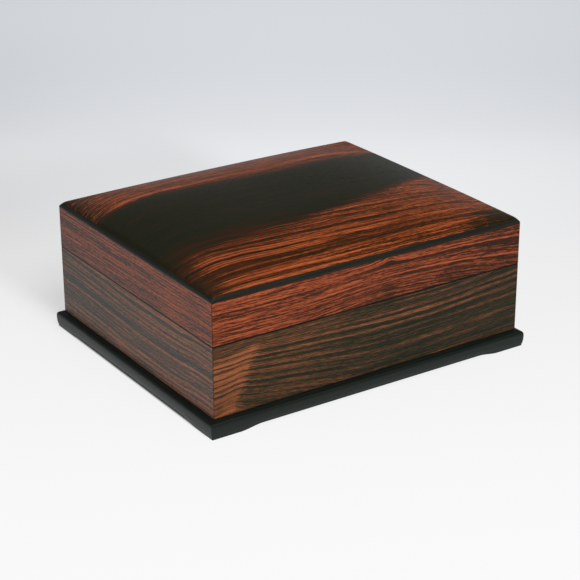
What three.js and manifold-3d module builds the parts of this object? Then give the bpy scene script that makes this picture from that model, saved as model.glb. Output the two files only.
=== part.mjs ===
// A Japanese wooden coffer: a mitred rosewood case on a black plinth with low feet, and a domed lid with a
// black edge band, which lifts straight off a lip that stands up inside the case.
// Millimetres, +Z up. The origin is the middle of the footprint on the table. X runs along the long front,
// and the front faces -Y.
import * as THREE from "three";
import { mergeVertices } from "three/addons/utils/BufferGeometryUtils.js";
import Module from "manifold-3d";

const wasm = await Module();
wasm.setup();

// Overall sizes of the wooden body, without the plinth's overhang
const bodyLength = 280;
const bodyDepth = 233;
const caseHeight = 56.4;
const lidHeight = 33.9;

// Boards
const wall = 9;
const floorThickness = 6;
const grooveDepth = 4;
const grooveHeight = 3;
const seamArris = 0.4;

// The lining boards inside the case, whose upper edge is the lip that the lid slips over
const liningThickness = 3;
const lipHeight = 8;
const lipLead = 0.8;

// Loose tongues hidden in the mitred corners, which hold the boards together
const tongueWidth = 6;
const tongueThickness = 1.6;
const tongueEnd = 5;

// Plinth: a fillet next to the wall, a fine step, a round shoulder and a side that draws in to the toe
const plinthHeight = 14;
const plinthSeat = 12;
const plinthOverhang = 5.3;
const shoulderHeight = 9.4;
const filletWidth = 2.6;
const filletFall = 0.75;
const stepHeight = 0.35;
const ankleOverhang = 4.45;
const ankleHeight = 1.9;
const toeOverhang = 3.3;

// Feet: the corners of the plinth reach lower than the stretches between them
const footLength = 20;
const footSlope = 19;
const footHeight = 2.2;

// The lid's top: a tight roll along its edges and a broad crown over the whole
const rollHeight = 5.2;
const rollWidth = 7.6;
const rollPower = 2.43;
const crownHeight = 12.8;
const bandWidth = 2.4;
const bandFace = 0.5;
const rebateDepth = 2.5;

// Clearances
const glueLine = 0.1;
const mitreGap = 0.07;
const tongueGap = 0.2;
const floorGap = 0.5;
const lidClearance = 0.3;
const lidSeam = 0.15;

// How finely the curved faces are divided
const curveSteps = 5;
const rollSteps = 4;
const crownSteps = 12;
const slopeSteps = 6;

const striped = new THREE.MeshStandardMaterial({ color: 0x7a3f27, roughness: 0.42, metalness: 0 });
const stripedLid = new THREE.MeshStandardMaterial({ color: 0x96492a, roughness: 0.4, metalness: 0 });
const heartTop = new THREE.MeshStandardMaterial({ color: 0x4b2f22, roughness: 0.38, metalness: 0 });
const ebony = new THREE.MeshStandardMaterial({ color: 0x282c2b, roughness: 0.5, metalness: 0 });
const innerWood = new THREE.MeshStandardMaterial({ color: 0x8d6a4a, roughness: 0.6, metalness: 0 });

// Each side of a frame is modelled as the front one is, along X and facing -Y, and then turned about Z.
const sides = [
  { name: "front", turn: 0, halfLength: bodyLength / 2, halfOffset: bodyDepth / 2 },
  { name: "right", turn: Math.PI / 2, halfLength: bodyDepth / 2, halfOffset: bodyLength / 2 },
  { name: "back", turn: Math.PI, halfLength: bodyLength / 2, halfOffset: bodyDepth / 2 },
  { name: "left", turn: -Math.PI / 2, halfLength: bodyDepth / 2, halfOffset: bodyLength / 2 },
];

function welded(geometry) {
  geometry.deleteAttribute("normal");
  geometry.deleteAttribute("uv");
  return mergeVertices(geometry, 1e-5);
}

function toSolid(geometry) {
  const merged = welded(geometry);
  const mesh = new wasm.Mesh({
    numProp: 3,
    vertProperties: new Float32Array(merged.attributes.position.array),
    triVerts: new Uint32Array(merged.index.array),
  });
  return new wasm.Manifold(mesh);
}

function toGeometry(solid) {
  const mesh = solid.getMesh();
  const geometry = new THREE.BufferGeometry();
  geometry.setAttribute("position", new THREE.BufferAttribute(mesh.vertProperties, 3));
  geometry.setIndex(new THREE.BufferAttribute(mesh.triVerts, 1));
  geometry.computeVertexNormals();
  return geometry;
}

function addPiece(group, name, geometry, material, turn = 0) {
  const mesh = new THREE.Mesh(geometry, material);
  mesh.name = name;
  mesh.rotation.z = turn;
  group.add(mesh);
}

// Distances from the left corner at which a rail has a section: close together near both corners.
function railMarks(side, cornerMarks, middleSteps) {
  const whole = 2 * side.halfLength;
  const last = cornerMarks[cornerMarks.length - 1];
  const middle = [];
  for (let i = 1; i < middleSteps; i += 1) {
    middle.push(last + ((whole - 2 * last) * i) / middleSteps);
  }
  const mirrored = cornerMarks.map((mark) => whole - mark).reverse();
  return [...cornerMarks, ...middle, ...mirrored];
}

// A rail is a profile of (outward, up) points drawn along one side of the body. At the corners each point
// stops on the mitre, and the skew fades out within a distance of reach. The function lift gives the height.
function rail(side, outline, marks, reach, lift) {
  const steps = marks.length - 1;
  const geometry = new THREE.ExtrudeGeometry(outline, {
    depth: steps,
    steps,
    bevelEnabled: false,
    curveSegments: curveSteps,
  });
  const position = geometry.attributes.position;
  for (let i = 0; i < position.count; i += 1) {
    const outward = position.getX(i);
    const up = position.getY(i);
    const mark = marks[Math.round(position.getZ(i))];
    const fromCorner = Math.min(mark, 2 * side.halfLength - mark);
    const skew = (outward - mitreGap) * Math.max(0, 1 - fromCorner / reach);
    const along = side.halfLength - fromCorner + skew;
    const x = mark < side.halfLength ? along : -along;
    const y = -(side.halfOffset + outward);
    position.setXYZ(i, x, y, lift(x, y, up, fromCorner));
  }
  return geometry;
}

// A straight rail has one section at each corner and keeps its profile.
function straightRail(side, points) {
  const outline = new THREE.Shape(points.map(([outward, up]) => new THREE.Vector2(outward, up)));
  return rail(side, outline, railMarks(side, [0], 1), wall, (x, y, up) => up);
}

// The tongue in the mitre at the corner where the front meets the side on the right (end = 1) or left (-1).
function tongueBlock(end, side, low, high, gap) {
  const width = tongueWidth + 2 * gap;
  const thickness = tongueThickness + 2 * gap;
  const block = new THREE.BoxGeometry(width, thickness, high - low + 2 * gap);
  block.rotateZ((end * Math.PI) / 4);
  const x = end * (side.halfLength - wall / 2);
  const y = -(side.halfOffset - wall / 2);
  block.translate(x, y, (low + high) / 2);
  return block;
}

function cutForTongues(geometry, side, low, high) {
  let board = toSolid(geometry);
  for (const end of [-1, 1]) {
    board = board.subtract(toSolid(tongueBlock(end, side, low, high, tongueGap)));
  }
  return toGeometry(board);
}

// Case: four mitred walls with a groove for the floor
function caseWallGeometry(side, tongueLow, tongueHigh) {
  const grooveTop = grooveHeight + floorThickness + 2 * glueLine;
  const board = straightRail(side, [
    [0, 0],
    [0, caseHeight - seamArris],
    [-seamArris, caseHeight],
    [-wall, caseHeight],
    [-wall, grooveTop],
    [grooveDepth - wall, grooveTop],
    [grooveDepth - wall, grooveHeight],
    [-wall, grooveHeight],
    [-wall, 0],
  ]);
  return cutForTongues(board, side, tongueLow, tongueHigh);
}

function floorGeometry() {
  const inset = wall - grooveDepth + floorGap;
  const board = new THREE.BoxGeometry(bodyLength - 2 * inset, bodyDepth - 2 * inset, floorThickness);
  board.translate(0, 0, grooveHeight + glueLine + floorThickness / 2);
  return board;
}

// Lining boards stand on the floor against the walls. Above the rim they are eased, so that the lid slips on.
function liningGeometry(side) {
  const low = grooveHeight + floorThickness + 3 * glueLine;
  const outerFace = -(wall + glueLine);
  const easedFace = -(wall + lidClearance);
  const innerFace = outerFace - liningThickness;
  const lipTop = caseHeight + lipHeight;
  return straightRail(side, [
    [outerFace, low],
    [outerFace, caseHeight],
    [easedFace, caseHeight],
    [easedFace, lipTop - lipLead],
    [easedFace - lipLead, lipTop],
    [innerFace, lipTop],
    [innerFace, low],
  ]);
}

// Plinth: the whole outline, from the inner bottom corner round the toe and the shoulder to the seat
function plinthOutline() {
  const outline = new THREE.Shape();
  outline.moveTo(-plinthSeat, 0);
  outline.lineTo(toeOverhang, 0);
  outline.quadraticCurveTo(ankleOverhang, 0, ankleOverhang, ankleHeight);
  outline.quadraticCurveTo(plinthOverhang, shoulderHeight / 2, plinthOverhang, shoulderHeight);
  const stepFoot = plinthHeight - filletFall - stepHeight;
  outline.quadraticCurveTo(plinthOverhang, stepFoot, filletWidth, stepFoot);
  outline.lineTo(filletWidth, plinthHeight - filletFall);
  outline.lineTo(0, plinthHeight);
  outline.lineTo(-plinthSeat, plinthHeight);
  outline.closePath();
  return outline;
}

function plinthGeometry(side) {
  const cornerMarks = [0];
  for (let i = 0; i <= slopeSteps; i += 1) {
    cornerMarks.push(footLength + (footSlope * i) / slopeSteps);
  }
  const lift = (x, y, up, fromCorner) => {
    const raised = footHeight * THREE.MathUtils.smoothstep(fromCorner, footLength, footLength + footSlope);
    return up + raised * Math.max(0, 1 - up / shoulderHeight);
  };
  return rail(side, plinthOutline(), railMarks(side, cornerMarks, 1), footLength, lift);
}

// Lid top: the height of its surface above the top of the lid's walls
function edgeRoll(inset) {
  const share = Math.min(Math.max(inset / rollWidth, 0), 1);
  return 1 - (1 - share) ** rollPower;
}

function domeHeight(halfLength, halfOffset, x, y) {
  const roll = edgeRoll(halfLength - Math.abs(x)) * edgeRoll(halfOffset - Math.abs(y));
  const crown = (1 - (x / halfLength) ** 2) * (1 - (y / halfOffset) ** 2);
  return bandFace + (rollHeight - bandFace) * roll + crownHeight * crown;
}

// The band is the outer strip of the roll. Its outline is one unit high and the dome sets the real height.
function bandGeometry(side) {
  const outline = new THREE.Shape();
  outline.moveTo(-bandWidth, 0);
  outline.lineTo(0, 0);
  for (let i = 0; i <= rollSteps; i += 1) {
    outline.lineTo((-bandWidth * i) / rollSteps, 1);
  }
  outline.closePath();
  const cornerMarks = [0];
  for (let i = 1; i <= rollSteps; i += 1) {
    cornerMarks.push((rollWidth * i) / rollSteps);
  }
  const lift = (x, y, up) => {
    const top = domeHeight(side.halfLength, side.halfOffset, x, y);
    return up > 0.5 ? top : glueLine;
  };
  return rail(side, outline, railMarks(side, cornerMarks, crownSteps), rollWidth, lift);
}

// Grid lines across the top board, from one edge to the other: four in each roll, the rest in the crown.
function domeLines(halfSize) {
  const edge = halfSize - bandWidth - glueLine;
  const inner = halfSize - rollWidth;
  const lines = [];
  for (let i = 0; i < rollSteps; i += 1) {
    lines.push(-edge + ((edge - inner) * i) / rollSteps);
  }
  for (let i = 0; i <= crownSteps; i += 1) {
    lines.push(-inner + (2 * inner * i) / crownSteps);
  }
  for (let i = 1; i <= rollSteps; i += 1) {
    lines.push(inner + ((edge - inner) * i) / rollSteps);
  }
  return lines;
}

// The top board rests on the walls inside the band, and its rebated underside locates it between them.
function topGeometry() {
  const xLines = domeLines(bodyLength / 2);
  const yLines = domeLines(bodyDepth / 2);
  const xSteps = xLines.length - 1;
  const ySteps = yLines.length - 1;
  const slab = new THREE.BoxGeometry(xSteps, ySteps, 1, xSteps, ySteps, 1);
  slab.translate(xSteps / 2, ySteps / 2, 0);
  const position = slab.attributes.position;
  for (let i = 0; i < position.count; i += 1) {
    const x = xLines[Math.round(position.getX(i))];
    const y = yLines[Math.round(position.getY(i))];
    const top = domeHeight(bodyLength / 2, bodyDepth / 2, x, y);
    position.setXYZ(i, x, y, position.getZ(i) > 0 ? top : glueLine);
  }
  const inset = wall + lidClearance;
  const overlap = bandFace + glueLine;
  const rebate = new THREE.BoxGeometry(
    bodyLength - 2 * inset,
    bodyDepth - 2 * inset,
    rebateDepth + overlap,
  );
  rebate.translate(0, 0, (overlap - rebateDepth) / 2);
  return toGeometry(toSolid(slab).add(toSolid(rebate)));
}

// Lid: four mitred walls, open below
function lidWallGeometry(side, tongueLow, tongueHigh) {
  const board = straightRail(side, [
    [0, seamArris],
    [0, lidHeight],
    [-wall, lidHeight],
    [-wall, 0],
    [-seamArris, 0],
  ]);
  return cutForTongues(board, side, tongueLow, tongueHigh);
}

function buildPlinth() {
  const plinth = new THREE.Group();
  for (const side of sides) {
    addPiece(plinth, `plinth_${side.name}`, welded(plinthGeometry(side)), ebony, side.turn);
  }
  return plinth;
}

function buildCase() {
  const box = new THREE.Group();
  box.position.z = plinthHeight + glueLine;
  const tongueLow = grooveHeight + floorThickness + tongueEnd;
  const tongueHigh = caseHeight - tongueEnd;
  for (const side of sides) {
    const board = caseWallGeometry(side, tongueLow, tongueHigh);
    addPiece(box, `case_${side.name}`, board, striped, side.turn);
    addPiece(box, `lining_${side.name}`, welded(liningGeometry(side)), innerWood, side.turn);
    const tongue = tongueBlock(1, side, tongueLow, tongueHigh, 0);
    addPiece(box, `case_tongue_${side.name}`, tongue, innerWood, side.turn);
  }
  addPiece(box, "floor", floorGeometry(), innerWood);
  return box;
}

function buildLid() {
  const lid = new THREE.Group();
  lid.position.z = plinthHeight + glueLine + caseHeight + lidSeam;
  const tongueHigh = lidHeight - tongueEnd;
  for (const side of sides) {
    const board = lidWallGeometry(side, tongueEnd, tongueHigh);
    addPiece(lid, `lid_${side.name}`, board, stripedLid, side.turn);
    const tongue = tongueBlock(1, side, tongueEnd, tongueHigh, 0);
    addPiece(lid, `lid_tongue_${side.name}`, tongue, innerWood, side.turn);
  }
  const dome = new THREE.Group();
  dome.position.z = lidHeight;
  for (const side of sides) {
    addPiece(dome, `band_${side.name}`, welded(bandGeometry(side)), ebony, side.turn);
  }
  addPiece(dome, "lid_top", topGeometry(), heartTop);
  lid.add(dome);
  return lid;
}

const coffer = new THREE.Group();
coffer.add(buildPlinth(), buildCase(), buildLid());

export default coffer;
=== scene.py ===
# %% [markdown]
# This scene dresses a Japanese rosewood coffer: mitred walls of striped rosewood on a black plinth with low
# feet, and a domed lid that lifts straight off. The working model already holds every board at its real size,
# so this file only gives the boards their fine surface and their finish. Before each step a few sentences say
# what the piece is on the real box, how it could be made in Blender, and why this way was chosen.

# %% Load the working model
import math

import bmesh
import bpy
from mathutils import Matrix, Vector


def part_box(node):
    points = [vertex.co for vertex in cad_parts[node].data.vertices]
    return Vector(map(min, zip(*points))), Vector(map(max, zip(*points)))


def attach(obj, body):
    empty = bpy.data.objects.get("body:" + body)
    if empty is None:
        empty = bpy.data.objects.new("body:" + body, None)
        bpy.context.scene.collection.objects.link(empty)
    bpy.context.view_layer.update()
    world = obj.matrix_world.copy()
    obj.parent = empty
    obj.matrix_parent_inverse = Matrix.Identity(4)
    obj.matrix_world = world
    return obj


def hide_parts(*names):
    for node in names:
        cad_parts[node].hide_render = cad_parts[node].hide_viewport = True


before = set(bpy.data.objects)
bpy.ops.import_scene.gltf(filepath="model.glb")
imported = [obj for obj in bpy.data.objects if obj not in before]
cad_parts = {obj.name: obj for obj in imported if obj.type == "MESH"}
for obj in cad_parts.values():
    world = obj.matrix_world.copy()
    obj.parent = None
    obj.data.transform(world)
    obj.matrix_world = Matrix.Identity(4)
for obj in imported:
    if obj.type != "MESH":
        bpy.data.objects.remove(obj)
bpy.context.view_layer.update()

# %% [markdown]
# Everything that has to fit the working model is measured from it: half the body's length and depth, the
# height of each board and the thickness of the walls. Only sizes that can't be read off a box, such as the
# curve of a moulding, are written again, in metres.

# %% Read the sizes of the boards
MM = 0.001

half_length = -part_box("case_left")[0][0]
half_depth = -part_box("case_front")[0][1]
wall = half_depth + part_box("case_front")[1][1]
case_low, case_high = (corner[2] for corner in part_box("case_front"))
lid_low, lid_high = (corner[2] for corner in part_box("lid_front"))
lining_low, lining_high = (corner[2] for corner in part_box("lining_front"))
plinth_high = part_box("plinth_front")[1][2]
plinth_overhang = -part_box("plinth_front")[0][1] - half_depth
plinth_seat = half_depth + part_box("plinth_front")[1][1]
rebate_depth = lid_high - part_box("lid_top")[0][2]
print("body", 2 * half_length, "by", 2 * half_depth, "wall", wall, "plinth", plinth_high)

# %% [markdown]
# The camera stands where the photograph was taken from: to the left of the front and a little above, with a
# long lens, so that the box keeps nearly parallel edges. It could be placed by hand until the picture fits.
# Here it is worked out from an aim point, a distance and three angles, which are easy to read and to change.

# %% Camera
AIM = Vector((-1.95 * MM, -7.39 * MM, 43.09 * MM))
DISTANCE = 1.38917
LENS = 108.45
TURN = math.radians(33.626)
FALL = math.radians(23.155)
LEAN = math.radians(0.164)

forward = Vector((math.sin(TURN) * math.cos(FALL), math.cos(TURN) * math.cos(FALL), -math.sin(FALL)))
level_right = forward.cross(Vector((0, 0, 1))).normalized()
up = math.cos(LEAN) * level_right.cross(forward) + math.sin(LEAN) * level_right
right = forward.cross(up)
camera = bpy.data.objects.new("camera", bpy.data.cameras.new("camera"))
camera.data.lens = LENS
camera_axes = Matrix((right, up, -forward)).transposed().to_4x4()
camera.matrix_world = Matrix.Translation(AIM - DISTANCE * forward) @ camera_axes
bpy.context.scene.collection.objects.link(camera)
bpy.context.scene.camera = camera
print("camera at", camera.location)

# %% [markdown]
# Shader trees and geometry trees are built from the same few nodes, so a handful of helpers serve both. One
# adds a node, one feeds a socket with either a link or a plain value, and one does both and gives back what
# comes out. Short names stand for the steps of arithmetic, and two helpers make and place a node group with
# named inputs. The nodes could be placed by hand as well, but here every size stays next to its name.

# %% Node helpers
FLOAT = "NodeSocketFloat"
WHOLE = "NodeSocketInt"
YES_NO = "NodeSocketBool"
COLOR = "NodeSocketColor"
GEOMETRY = "NodeSocketGeometry"
MATERIAL = "NodeSocketMaterial"


def add_node(tree, kind, **settings):
    node = tree.nodes.new(kind)
    for name, value in settings.items():
        setattr(node, name, value)
    return node


def feed(tree, socket, value):
    if isinstance(value, bpy.types.NodeSocket):
        tree.links.new(value, socket)
    else:
        socket.default_value = value


def step(tree, kind, inputs, **settings):
    """Adds a node, feeds the inputs that are named or numbered, and gives back its first output."""
    node = add_node(tree, kind, **settings)
    for name, value in inputs.items():
        feed(tree, node.inputs[name], value)
    return node.outputs[0]


def calc(tree, operation, *values):
    return step(tree, "ShaderNodeMath", dict(enumerate(values)), operation=operation)


def arithmetic(operation):
    """Gives a step of arithmetic a name of its own, so that times(tree, a, b) reads as it is meant."""
    def named_step(tree, *values):
        return calc(tree, operation, *values)

    return named_step


times = arithmetic("MULTIPLY")
plus = arithmetic("ADD")
minus = arithmetic("SUBTRACT")
over = arithmetic("DIVIDE")
times_plus = arithmetic("MULTIPLY_ADD")
larger = arithmetic("MAXIMUM")
smaller = arithmetic("MINIMUM")
size_of = arithmetic("ABSOLUTE")


def vector(tree, x, y, z):
    return step(tree, "ShaderNodeCombineXYZ", {"X": x, "Y": y, "Z": z})


def split(tree, place):
    """The three numbers of a place, as the outputs X, Y and Z."""
    node = add_node(tree, "ShaderNodeSeparateXYZ")
    feed(tree, node.inputs[0], place)
    return node.outputs


def remap(tree, value, low, high, to_low=0.0, to_high=1.0, soft=True):
    """Carries low to high over to to_low to to_high, held at both ends and eased when soft."""
    ends = {"From Min": low, "From Max": high, "To Min": to_low, "To Max": to_high}
    kind = "SMOOTHSTEP" if soft else "LINEAR"
    return step(tree, "ShaderNodeMapRange", {"Value": value, **ends}, interpolation_type=kind)


def new_group(name, kind, inputs, outputs):
    """A node group with named sockets: {name: (type, default)} for inputs and {name: type} for outputs."""
    tree = bpy.data.node_groups.new(name, kind)
    for socket_name, (socket_type, default) in inputs.items():
        socket = tree.interface.new_socket(socket_name, in_out="INPUT", socket_type=socket_type)
        if default is not None:
            socket.default_value = default
    for socket_name, socket_type in outputs.items():
        tree.interface.new_socket(socket_name, in_out="OUTPUT", socket_type=socket_type)
    return tree, add_node(tree, "NodeGroupInput").outputs, add_node(tree, "NodeGroupOutput").inputs


def use_group(tree, group, values):
    """Places a group in a tree, feeds the inputs that values names, and gives back its outputs."""
    kind = "GeometryNodeGroup" if tree.bl_idname == "GeometryNodeTree" else "ShaderNodeGroup"
    node = add_node(tree, kind, node_tree=group)
    for name, value in values.items():
        feed(tree, node.inputs[name], value)
    return node.outputs


# %% [markdown]
# The top of the lid is planed to a broad crown and rolled over tightly along its edges. Both could be
# sculpted, but they follow a rule: the roll rises steeply from each edge and then flattens, and the crown is
# nearly flat in the middle and falls faster towards the edges. Written once as a node group, the same height
# serves the top board and the black band around it, so that the two always meet.

# %% Dome height
ROLL_WIDTH = 5.9 * MM
ROLL_HEIGHT = 4.58 * MM
ROLL_POWER = 2.2
ROLL_FULLNESS = 0.53
CROWN_HEIGHT = 13.4 * MM
CROWN_POWER = 3.0
BAND_FACE = 0.5 * MM

dome, dome_in, dome_out = new_group(
    "dome_height",
    "GeometryNodeTree",
    {
        "X": (FLOAT, 0.0),
        "Y": (FLOAT, 0.0),
        "Half Length": (FLOAT, half_length),
        "Half Offset": (FLOAT, half_depth),
        "Face Height": (FLOAT, BAND_FACE),
        "Roll Height": (FLOAT, ROLL_HEIGHT),
        "Roll Width": (FLOAT, ROLL_WIDTH),
        "Roll Power": (FLOAT, ROLL_POWER),
        "Roll Fullness": (FLOAT, ROLL_FULLNESS),
        "Crown Height": (FLOAT, CROWN_HEIGHT),
        "Crown Power": (FLOAT, CROWN_POWER),
    },
    {"Height": FLOAT},
)


def edge_roll(place, half_size):
    inset = minus(dome, half_size, size_of(dome, place))
    share = over(dome, inset, dome_in["Roll Width"])
    left_over = minus(dome, 1.0, smaller(dome, larger(dome, share, 0.0), 1.0))
    rounded = minus(dome, 1.0, calc(dome, "POWER", left_over, dome_in["Roll Power"]))
    return calc(dome, "POWER", rounded, dome_in["Roll Fullness"])


def crown_share(place, half_size):
    ratio = over(dome, size_of(dome, place), half_size)
    return minus(dome, 1.0, calc(dome, "POWER", ratio, dome_in["Crown Power"]))


directions = (("X", "Half Length"), ("Y", "Half Offset"))
rolls = [edge_roll(dome_in[place], dome_in[half_size]) for place, half_size in directions]
crowns = [crown_share(dome_in[place], dome_in[half_size]) for place, half_size in directions]
roll_rise = minus(dome, dome_in["Roll Height"], dome_in["Face Height"])
dome_edge = times_plus(dome, times(dome, *rolls), roll_rise, dome_in["Face Height"])
dome_crown = times(dome, times(dome, *crowns), dome_in["Crown Height"])
feed(dome, dome_out["Height"], plus(dome, dome_edge, dome_crown))
print("dome rule:", len(dome.nodes), "nodes")

# %% [markdown]
# The walls, the lining, the plinth and the edge band are all the same kind of thing: a profile that runs
# along one side and is cut at 45 degrees at both ends. Each could be extruded and cut by hand, twenty times.
# A tree sweeps the profile along a line of marks instead, and then a rule gives every point its place: how
# far it is from the corner, where the mitre stops it, how the outer arris is eased, how the foot lifts and
# how the band follows the dome. A rail is made along X, facing -Y, and turned to its side at the end.

# %% Mitred rail: the sweep and its marks
CORNER_LINES = 4
GLUE_LINE = 0.1 * MM

rail, rail_in, rail_out = new_group(
    "mitred_rail",
    "GeometryNodeTree",
    {
        "Geometry": (GEOMETRY, None),
        "Material": (MATERIAL, None),
        "Half Length": (FLOAT, half_length),
        "Half Offset": (FLOAT, half_depth),
        "Turn": (FLOAT, 0.0),
        "Base": (FLOAT, 0.0),
        "Half Lines": (WHOLE, 12),
        "Line Spread": (FLOAT, 2.0),
        "Reach": (FLOAT, wall),
        "Mitre Gap": (FLOAT, 0.07 * MM),
        "Corner Round": (FLOAT, 0.35 * MM),
        "Foot Length": (FLOAT, 20 * MM),
        "Foot Slope": (FLOAT, 19 * MM),
        "Foot Height": (FLOAT, 0.0),
        "Foot Fades": (FLOAT, 9.4 * MM),
        "Follow Dome": (YES_NO, False),
        "Slot Low": (FLOAT, 0.0),
        "Slot High": (FLOAT, 0.0),
    },
    {"Geometry": GEOMETRY},
)
half_lines = rail_in["Half Lines"]
line_count = times_plus(rail, half_lines, 2.0, 1.0)
marks = step(rail, "GeometryNodeMeshLine", {"Count": line_count, "Offset": (1.0, 0.0, 0.0)})
path = step(rail, "GeometryNodeMeshToCurve", {"Mesh": marks})
profile = step(rail, "GeometryNodeMeshToCurve", {"Mesh": rail_in["Geometry"]})
sweep = step(rail, "GeometryNodeCurveToMesh", {"Curve": path, "Profile Curve": profile, "Fill Caps": True})

# The sweep puts mark number i at X = i, and turns the profile half round, to -Y and -Z.
swept = split(rail, add_node(rail, "GeometryNodeInputPosition").outputs[0])
mark = swept["X"]
outward = times(rail, swept["Y"], -1.0)
rise = times(rail, swept["Z"], -1.0)
print("rail sweep:", len(rail.nodes), "nodes")

# %% Mitred rail: the rule for each point
from_middle = minus(rail, mark, half_lines)
from_end = minus(rail, half_lines, size_of(rail, from_middle))

# The first marks turn through 45 degrees round the eased arris, and the others spread towards the middle.
turned = larger(rail, minus(rail, 1.0, over(rail, from_end, CORNER_LINES)), 0.0)
arris_angle = times(rail, turned, math.pi / 4)
arris_cosine = calc(rail, "COSINE", arris_angle)
arris_run = minus(rail, arris_cosine, calc(rail, "SINE", arris_angle))
later = minus(rail, from_end, CORNER_LINES)
spread = over(rail, later, minus(rail, half_lines, CORNER_LINES))
spread = calc(rail, "POWER", larger(rail, spread, 0.0), rail_in["Line Spread"])
straight_run = minus(rail, rail_in["Half Length"], rail_in["Corner Round"])
from_corner = times(rail, arris_run, rail_in["Corner Round"])
from_corner = times_plus(rail, spread, straight_run, from_corner)

# Only the outer face is drawn in round the arris.
on_face = plus(rail, 1.0, over(rail, outward, rail_in["Corner Round"]))
on_face = smaller(rail, larger(rail, on_face, 0.0), 1.0)
drawn_in = times(rail, minus(rail, 1.0, arris_cosine), rail_in["Corner Round"])
outward = minus(rail, outward, times(rail, drawn_in, on_face))

# Near the corner a point stops on the mitre, less the gap that the glue takes.
mitre_share = minus(rail, 1.0, over(rail, from_corner, rail_in["Reach"]))
mitre_share = larger(rail, mitre_share, 0.0)
skew = times(rail, minus(rail, outward, rail_in["Mitre Gap"]), mitre_share)
along = plus(rail, minus(rail, rail_in["Half Length"], from_corner), skew)
rail_x = times(rail, along, calc(rail, "SIGN", from_middle))
rail_y = times(rail, plus(rail, outward, rail_in["Half Offset"]), -1.0)

# %% Mitred rail: foot, dome and place
slope_end = plus(rail, rail_in["Foot Length"], rail_in["Foot Slope"])
foot_lift = remap(rail, from_corner, rail_in["Foot Length"], slope_end, 0.0, rail_in["Foot Height"])
foot_share = minus(rail, 1.0, over(rail, rise, rail_in["Foot Fades"]))
foot_share = larger(rail, foot_share, 0.0)
lifted = times_plus(rail, foot_lift, foot_share, rise)

dome_sizes = {name: rail_in[name] for name in ("Half Length", "Half Offset")}
dome_here = use_group(rail, dome, {"X": rail_x, "Y": rail_y, **dome_sizes})["Height"]
on_dome = times(rail, calc(rail, "GREATER_THAN", rise, BAND_FACE), rail_in["Follow Dome"])
rail_z = times_plus(rail, on_dome, minus(rail, dome_here, lifted), lifted)
rail_z = plus(rail, rail_z, rail_in["Base"])
rail_place = vector(rail, rail_x, rail_y, rail_z)
bent = step(rail, "GeometryNodeSetPosition", {"Geometry": sweep, "Position": rail_place})
print("rail rule:", len(rail.nodes), "nodes")

# %% [markdown]
# Loose tongues are glued into slots in the mitres, where nobody sees them. The slots are cut all the same, so
# that a wall taken off by itself looks like the real board. Two blocks, one in each corner, do the cutting.

# %% Mitred rail: tongue slots, turn and material
TONGUE_WIDTH = 6 * MM
TONGUE_THICKNESS = 1.6 * MM
TONGUE_GAP = 0.2 * MM


def slot_cutter(end):
    tall = minus(rail, rail_in["Slot High"], rail_in["Slot Low"])
    sizes = (TONGUE_WIDTH + 2 * TONGUE_GAP, TONGUE_THICKNESS + 2 * TONGUE_GAP, tall)
    cutter = step(rail, "GeometryNodeMeshCube", {"Size": vector(rail, *sizes)})
    x = times(rail, minus(rail, rail_in["Half Length"], wall / 2), end)
    y = minus(rail, wall / 2, rail_in["Half Offset"])
    z = times_plus(rail, tall, 0.5, rail_in["Slot Low"])
    spot = {"Translation": vector(rail, x, y, z), "Rotation": (0.0, 0.0, end * math.pi / 4)}
    return step(rail, "GeometryNodeTransform", {"Geometry": cutter, **spot})


slotted = add_node(rail, "GeometryNodeMeshBoolean", operation="DIFFERENCE", solver="EXACT")
feed(rail, slotted.inputs["Mesh 1"], bent)
for end in (-1, 1):
    feed(rail, slotted.inputs["Mesh 2"], slot_cutter(end))
has_slots = calc(rail, "GREATER_THAN", rail_in["Slot High"], rail_in["Slot Low"])
either_rail = {"Switch": has_slots, "False": bent, "True": slotted.outputs["Mesh"]}
chosen = step(rail, "GeometryNodeSwitch", either_rail, input_type="GEOMETRY")
rail_turn = vector(rail, 0.0, 0.0, rail_in["Turn"])
turned_rail = step(rail, "GeometryNodeTransform", {"Geometry": chosen, "Rotation": rail_turn})


def finish_tree(tree, geometry, material, output):
    """Ends a tree in plain geometry that wears its material."""
    realized = step(tree, "GeometryNodeRealizeInstances", {"Geometry": geometry})
    feed(tree, output, step(tree, "GeometryNodeSetMaterial", {"Geometry": realized, "Material": material}))


finish_tree(rail, turned_rail, rail_in["Material"], rail_out["Geometry"])
print("mitred rail:", len(rail.nodes), "nodes")

# %% [markdown]
# The top board is one thick plank, domed above and flat below, with a rebate that drops between the walls of
# the lid. A block of many small faces has its upper points lifted by the dome rule. Its grid lines follow a
# sine, so they crowd together at the edges, where the roll needs them, and stay wide in the middle. The
# rebate is a second block, joined by a boolean, so that the board is one closed body.

# %% Top board
BAND_WIDTH = 1.7 * MM
REBATE_CLEARANCE = 0.3 * MM

board, board_in, board_out = new_group(
    "top_board",
    "GeometryNodeTree",
    {
        "Geometry": (GEOMETRY, None),
        "Material": (MATERIAL, None),
        "Base": (FLOAT, lid_high),
        "Underside": (FLOAT, GLUE_LINE),
        "Edge Inset": (FLOAT, BAND_WIDTH + GLUE_LINE),
        "Rebate Inset": (FLOAT, wall + REBATE_CLEARANCE),
        "Rebate Depth": (FLOAT, rebate_depth),
        "Length Lines": (WHOLE, 141),
        "Depth Lines": (WHOLE, 121),
    },
    {"Geometry": GEOMETRY},
)
slab_lines = {"Vertices X": board_in["Length Lines"], "Vertices Y": board_in["Depth Lines"]}
slab = step(board, "GeometryNodeMeshCube", {"Size": (2.0, 2.0, 2.0), **slab_lines})
slab_point = split(board, add_node(board, "GeometryNodeInputPosition").outputs[0])


def sine_line(place, half_size):
    reach = minus(board, half_size, board_in["Edge Inset"])
    return times(board, calc(board, "SINE", times(board, place, math.pi / 2)), reach)


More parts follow.
